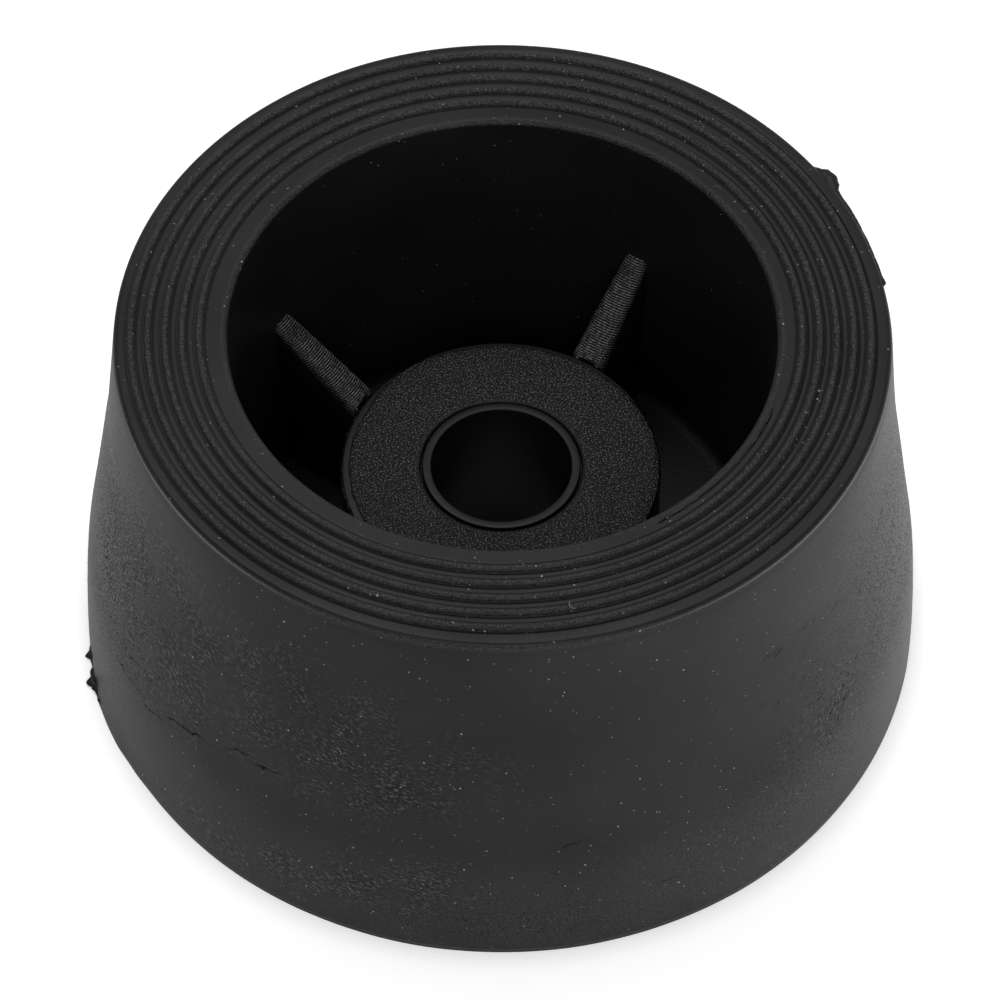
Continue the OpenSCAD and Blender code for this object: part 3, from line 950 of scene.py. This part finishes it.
# %% Lint tree
def lint_tree():
    tree, given = new_tree("lint", [("Specks per m2", "NodeSocketFloat", 430000.0),
                                    ("Hairs per m2", "NodeSocketFloat", 17000.0),
                                    ("Speck size", "NodeSocketFloat", mm(0.04)),
                                    ("Hair length", "NodeSocketFloat", mm(0.36)),
                                    ("Seed", "NodeSocketInt", 7),
                                    ("Clean inside", "NodeSocketFloat", MOUTH_R),
                                    ("Material", "NodeSocketMaterial", None)])
    normal = add_node(tree, "GeometryNodeInputNormal").outputs[0]
    upward = add_node(tree, "ShaderNodeSeparateXYZ", {0: normal}).outputs[2]
    upward = add_node(tree, "FunctionNodeCompare", {0: upward, 1: -0.3},
                      operation="GREATER_THAN").outputs[0]
    spot = add_node(tree, "GeometryNodeInputPosition").outputs[0]
    spot = add_node(tree, "ShaderNodeVectorMath", {0: spot, 1: (1, 1, 0)}, operation="MULTIPLY").outputs[0]
    reach = add_node(tree, "ShaderNodeVectorMath", {0: spot}, operation="LENGTH").outputs["Value"]
    outside = add_node(tree, "FunctionNodeCompare", {0: reach, 1: given["Clean inside"]},
                       operation="GREATER_THAN").outputs[0]
    upward = add_node(tree, "FunctionNodeBooleanMath", {0: upward, 1: outside}, operation="AND").outputs[0]
    stone = add_node(tree, "GeometryNodeMeshIcoSphere",
                     {"Radius": given["Speck size"], "Subdivisions": 1}).outputs[0]
    bend = add_node(tree, "GeometryNodeCurveQuadraticBezier", {"Resolution": 7, "Start": (-0.5, 0, 0.0),
                                                               "Middle": (0.1, 0.5, 0.06),
                                                               "End": (0.5, -0.1, 0.0)})
    ring = add_node(tree, "GeometryNodeCurvePrimitiveCircle", {"Resolution": 4, "Radius": 0.016})
    hair = add_node(tree, "GeometryNodeCurveToMesh",
                    {0: bend.outputs[0], 1: ring.outputs[0], "Fill Caps": True}).outputs[0]
    strewn = []
    for label, copy, low, high, shift in (("Specks per m2", stone, (0.4, 0.4, 0.2), (2.0, 1.7, 0.7), 0),
                                          ("Hairs per m2", hair, (0.4, 0.2, 0.5), (1.8, 1.8, 1.5), 1)):
        seed = add_node(tree, "ShaderNodeMath", {0: given["Seed"], 1: shift}, operation="ADD").outputs[0]
        spots = add_node(tree, "GeometryNodeDistributePointsOnFaces", {
            "Mesh": given["Geometry"], "Selection": upward, "Density": given[label], "Seed": seed})
        size = add_node(tree, "FunctionNodeRandomValue", {0: low, 1: high, "Seed": seed},
                        data_type="FLOAT_VECTOR").outputs[0]
        if shift:
            size = add_node(tree, "ShaderNodeVectorMath", {0: size, "Scale": given["Hair length"]},
                            operation="SCALE").outputs[0]
        spin = add_node(tree, "FunctionNodeRandomValue", {2: 0.0, 3: math.tau, "Seed": seed},
                        data_type="FLOAT").outputs[1]
        spin = add_node(tree, "ShaderNodeCombineXYZ", {2: spin}).outputs[0]
        lay = add_node(tree, "FunctionNodeRotateRotation", {0: spots.outputs["Rotation"], 1: spin},
                       rotation_space="LOCAL").outputs[0]
        copies = add_node(tree, "GeometryNodeInstanceOnPoints", {
            "Points": spots.outputs["Points"], "Instance": copy, "Rotation": lay, "Scale": size}).outputs[0]
        fade = add_node(tree, "FunctionNodeRandomValue", {2: 0.0, 3: 1.0, "Seed": seed},
                        data_type="FLOAT").outputs[1]
        strewn.append(add_node(tree, "GeometryNodeStoreNamedAttribute",
                               {"Geometry": copies, "Name": "fade", "Value": fade},
                               data_type="FLOAT", domain="INSTANCE").outputs[0])
    join = tree.nodes.new("GeometryNodeJoinGeometry")
    for geometry in strewn:
        tree.links.new(geometry, join.inputs[0])
    finish_tree(tree, given, join.outputs[0])
    return tree


lint = grow(new_object("dust_carrier", foot_body.data.copy()), lint_tree(), "dust_and_lint",
            {"Material": dust})
print("dust and lint in", len(lint.data.polygons), "faces")

# %% [markdown]
# ## The bench and the light
# The foot lies on a pale sheet that runs on to white. Black rubber shows only what it mirrors, so the room
# matters more than the lamps: it is white low down, which brightens the wall towards its sides, greyer
# overhead, which keeps the tread dark, and a little dimmer on the left.

# %% Floor, room and lamps
def pale_sheet():
    # Uncoated paper is matt and nearly white, so that it passes into the white page round it.
    material, tree = new_material("pale_paper_sheet")
    place = add_node(tree, "ShaderNodeTexCoord").outputs["Object"]
    rays = add_node(tree, "ShaderNodeLightPath").outputs
    # In mirrors only, the sheet is darker on the left, which the foot's left side shows.
    left = add_node(tree, "ShaderNodeSeparateXYZ", {0: place}).outputs[0]
    left = add_node(tree, "ShaderNodeMapRange", {0: left, 1: -0.005, 2: -0.03}).outputs[0]
    left = add_node(tree, "ShaderNodeMath", {0: left, 1: rays["Is Glossy Ray"]},
                    operation="MULTIPLY").outputs[0]
    card = add_node(tree, "ShaderNodeMix", {0: left, 6: linear("#f2f2f2"), 7: linear("#b4b4b4")},
                    data_type="RGBA").outputs[2]
    matt = add_node(tree, "ShaderNodeBsdfDiffuse", {"Color": card})
    away = add_node(tree, "ShaderNodeVectorMath", {0: place}, operation="LENGTH").outputs["Value"]
    # No light gets under the foot, so the lift starts at the edge of its base.
    level = add_node(tree, "ShaderNodeMapRange",
                     {0: away, 1: BASE_R * 0.85, 2: BASE_R * 1.05, 3: 0.0, 4: 0.5}).outputs[0]
    white = add_node(tree, "ShaderNodeEmission", {"Strength": level})
    mirrored = add_node(tree, "ShaderNodeMath", {0: rays["Is Glossy Ray"], 1: 0.6},
                        operation="MULTIPLY").outputs[0]
    seen = add_node(tree, "ShaderNodeMath", {0: rays["Is Camera Ray"], 1: mirrored},
                    operation="MAXIMUM").outputs[0]
    seen = add_node(tree, "ShaderNodeMath", {0: seen, 1: rays["Is Transmission Ray"]},
                    operation="MAXIMUM").outputs[0]
    lift = add_node(tree, "ShaderNodeAddShader", {0: matt.outputs[0], 1: white.outputs[0]})
    mix = add_node(tree, "ShaderNodeMixShader", {0: seen, 1: matt.outputs[0], 2: lift.outputs[0]})
    add_node(tree, "ShaderNodeOutputMaterial", {"Surface": mix.outputs[0]})
    return material


def lay_floor():
    mesh = bpy.data.meshes.new("paper_sheet")
    reach = 3.0
    corners = [(-reach, -reach, 0), (reach, -reach, 0), (reach, reach, 0), (-reach, reach, 0)]
    mesh.from_pydata(corners, [], [(0, 1, 2, 3)])
    mesh.materials.append(pale_sheet())
    floor = new_object("paper_sheet", mesh)


def light_room():
    world = bpy.data.worlds.new("white_room")
    bpy.context.scene.world = world
    world.use_nodes = True
    tree = world.node_tree
    tree.nodes.clear()
    look = add_node(tree, "ShaderNodeTexCoord").outputs["Generated"]
    look = add_node(tree, "ShaderNodeSeparateXYZ", {0: look}).outputs
    level = add_node(tree, "ShaderNodeMapRange", {0: look[2], 1: 0.15, 2: 0.75, 3: 1.0, 4: 0.45},
                     interpolation_type="SMOOTHSTEP").outputs[0]
    side = add_node(tree, "ShaderNodeMapRange", {0: look[0], 1: -0.9, 2: 0.0, 3: 0.76, 4: 1.0}).outputs[0]
    level = add_node(tree, "ShaderNodeMath", {0: level, 1: side}, operation="MULTIPLY").outputs[0]
    sky = add_node(tree, "ShaderNodeBackground", {"Strength": level})
    add_node(tree, "ShaderNodeOutputWorld", {"Surface": sky.outputs[0]})


def hang_lamp(name, place, aim, size, power):
    data = bpy.data.lights.new(name, "AREA")
    data.shape = "SQUARE"
    data.size = size
    data.energy = power
    lamp = new_object(name, data)
    lamp.location = place
    lamp.rotation_euler = (Vector(aim) - Vector(place)).to_track_quat("-Z", "Y").to_euler()


lay_floor()
light_room()
MIDDLE_OF_FOOT = (0, 0, 0.02)
hang_lamp("overhead_softbox", (0.0, 0.28, 0.9), MIDDLE_OF_FOOT, 0.6, 3.0)
hang_lamp("front_softbox", (-0.18, -0.73, 0.6), MIDDLE_OF_FOOT, 0.5, 1.9)
bpy.context.scene.view_settings.view_transform = "Standard"
print("room lit")

# %% [markdown]
# ## One body
# Every piece is part of the moulding or clings to it, so all ride on the one body, and the turned body
# stands for the solid foot.

# %% Join the frame
for piece in (foot_body, hub_ribs, *flash, lint):
    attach(piece, "root")
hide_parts("rubber_foot")
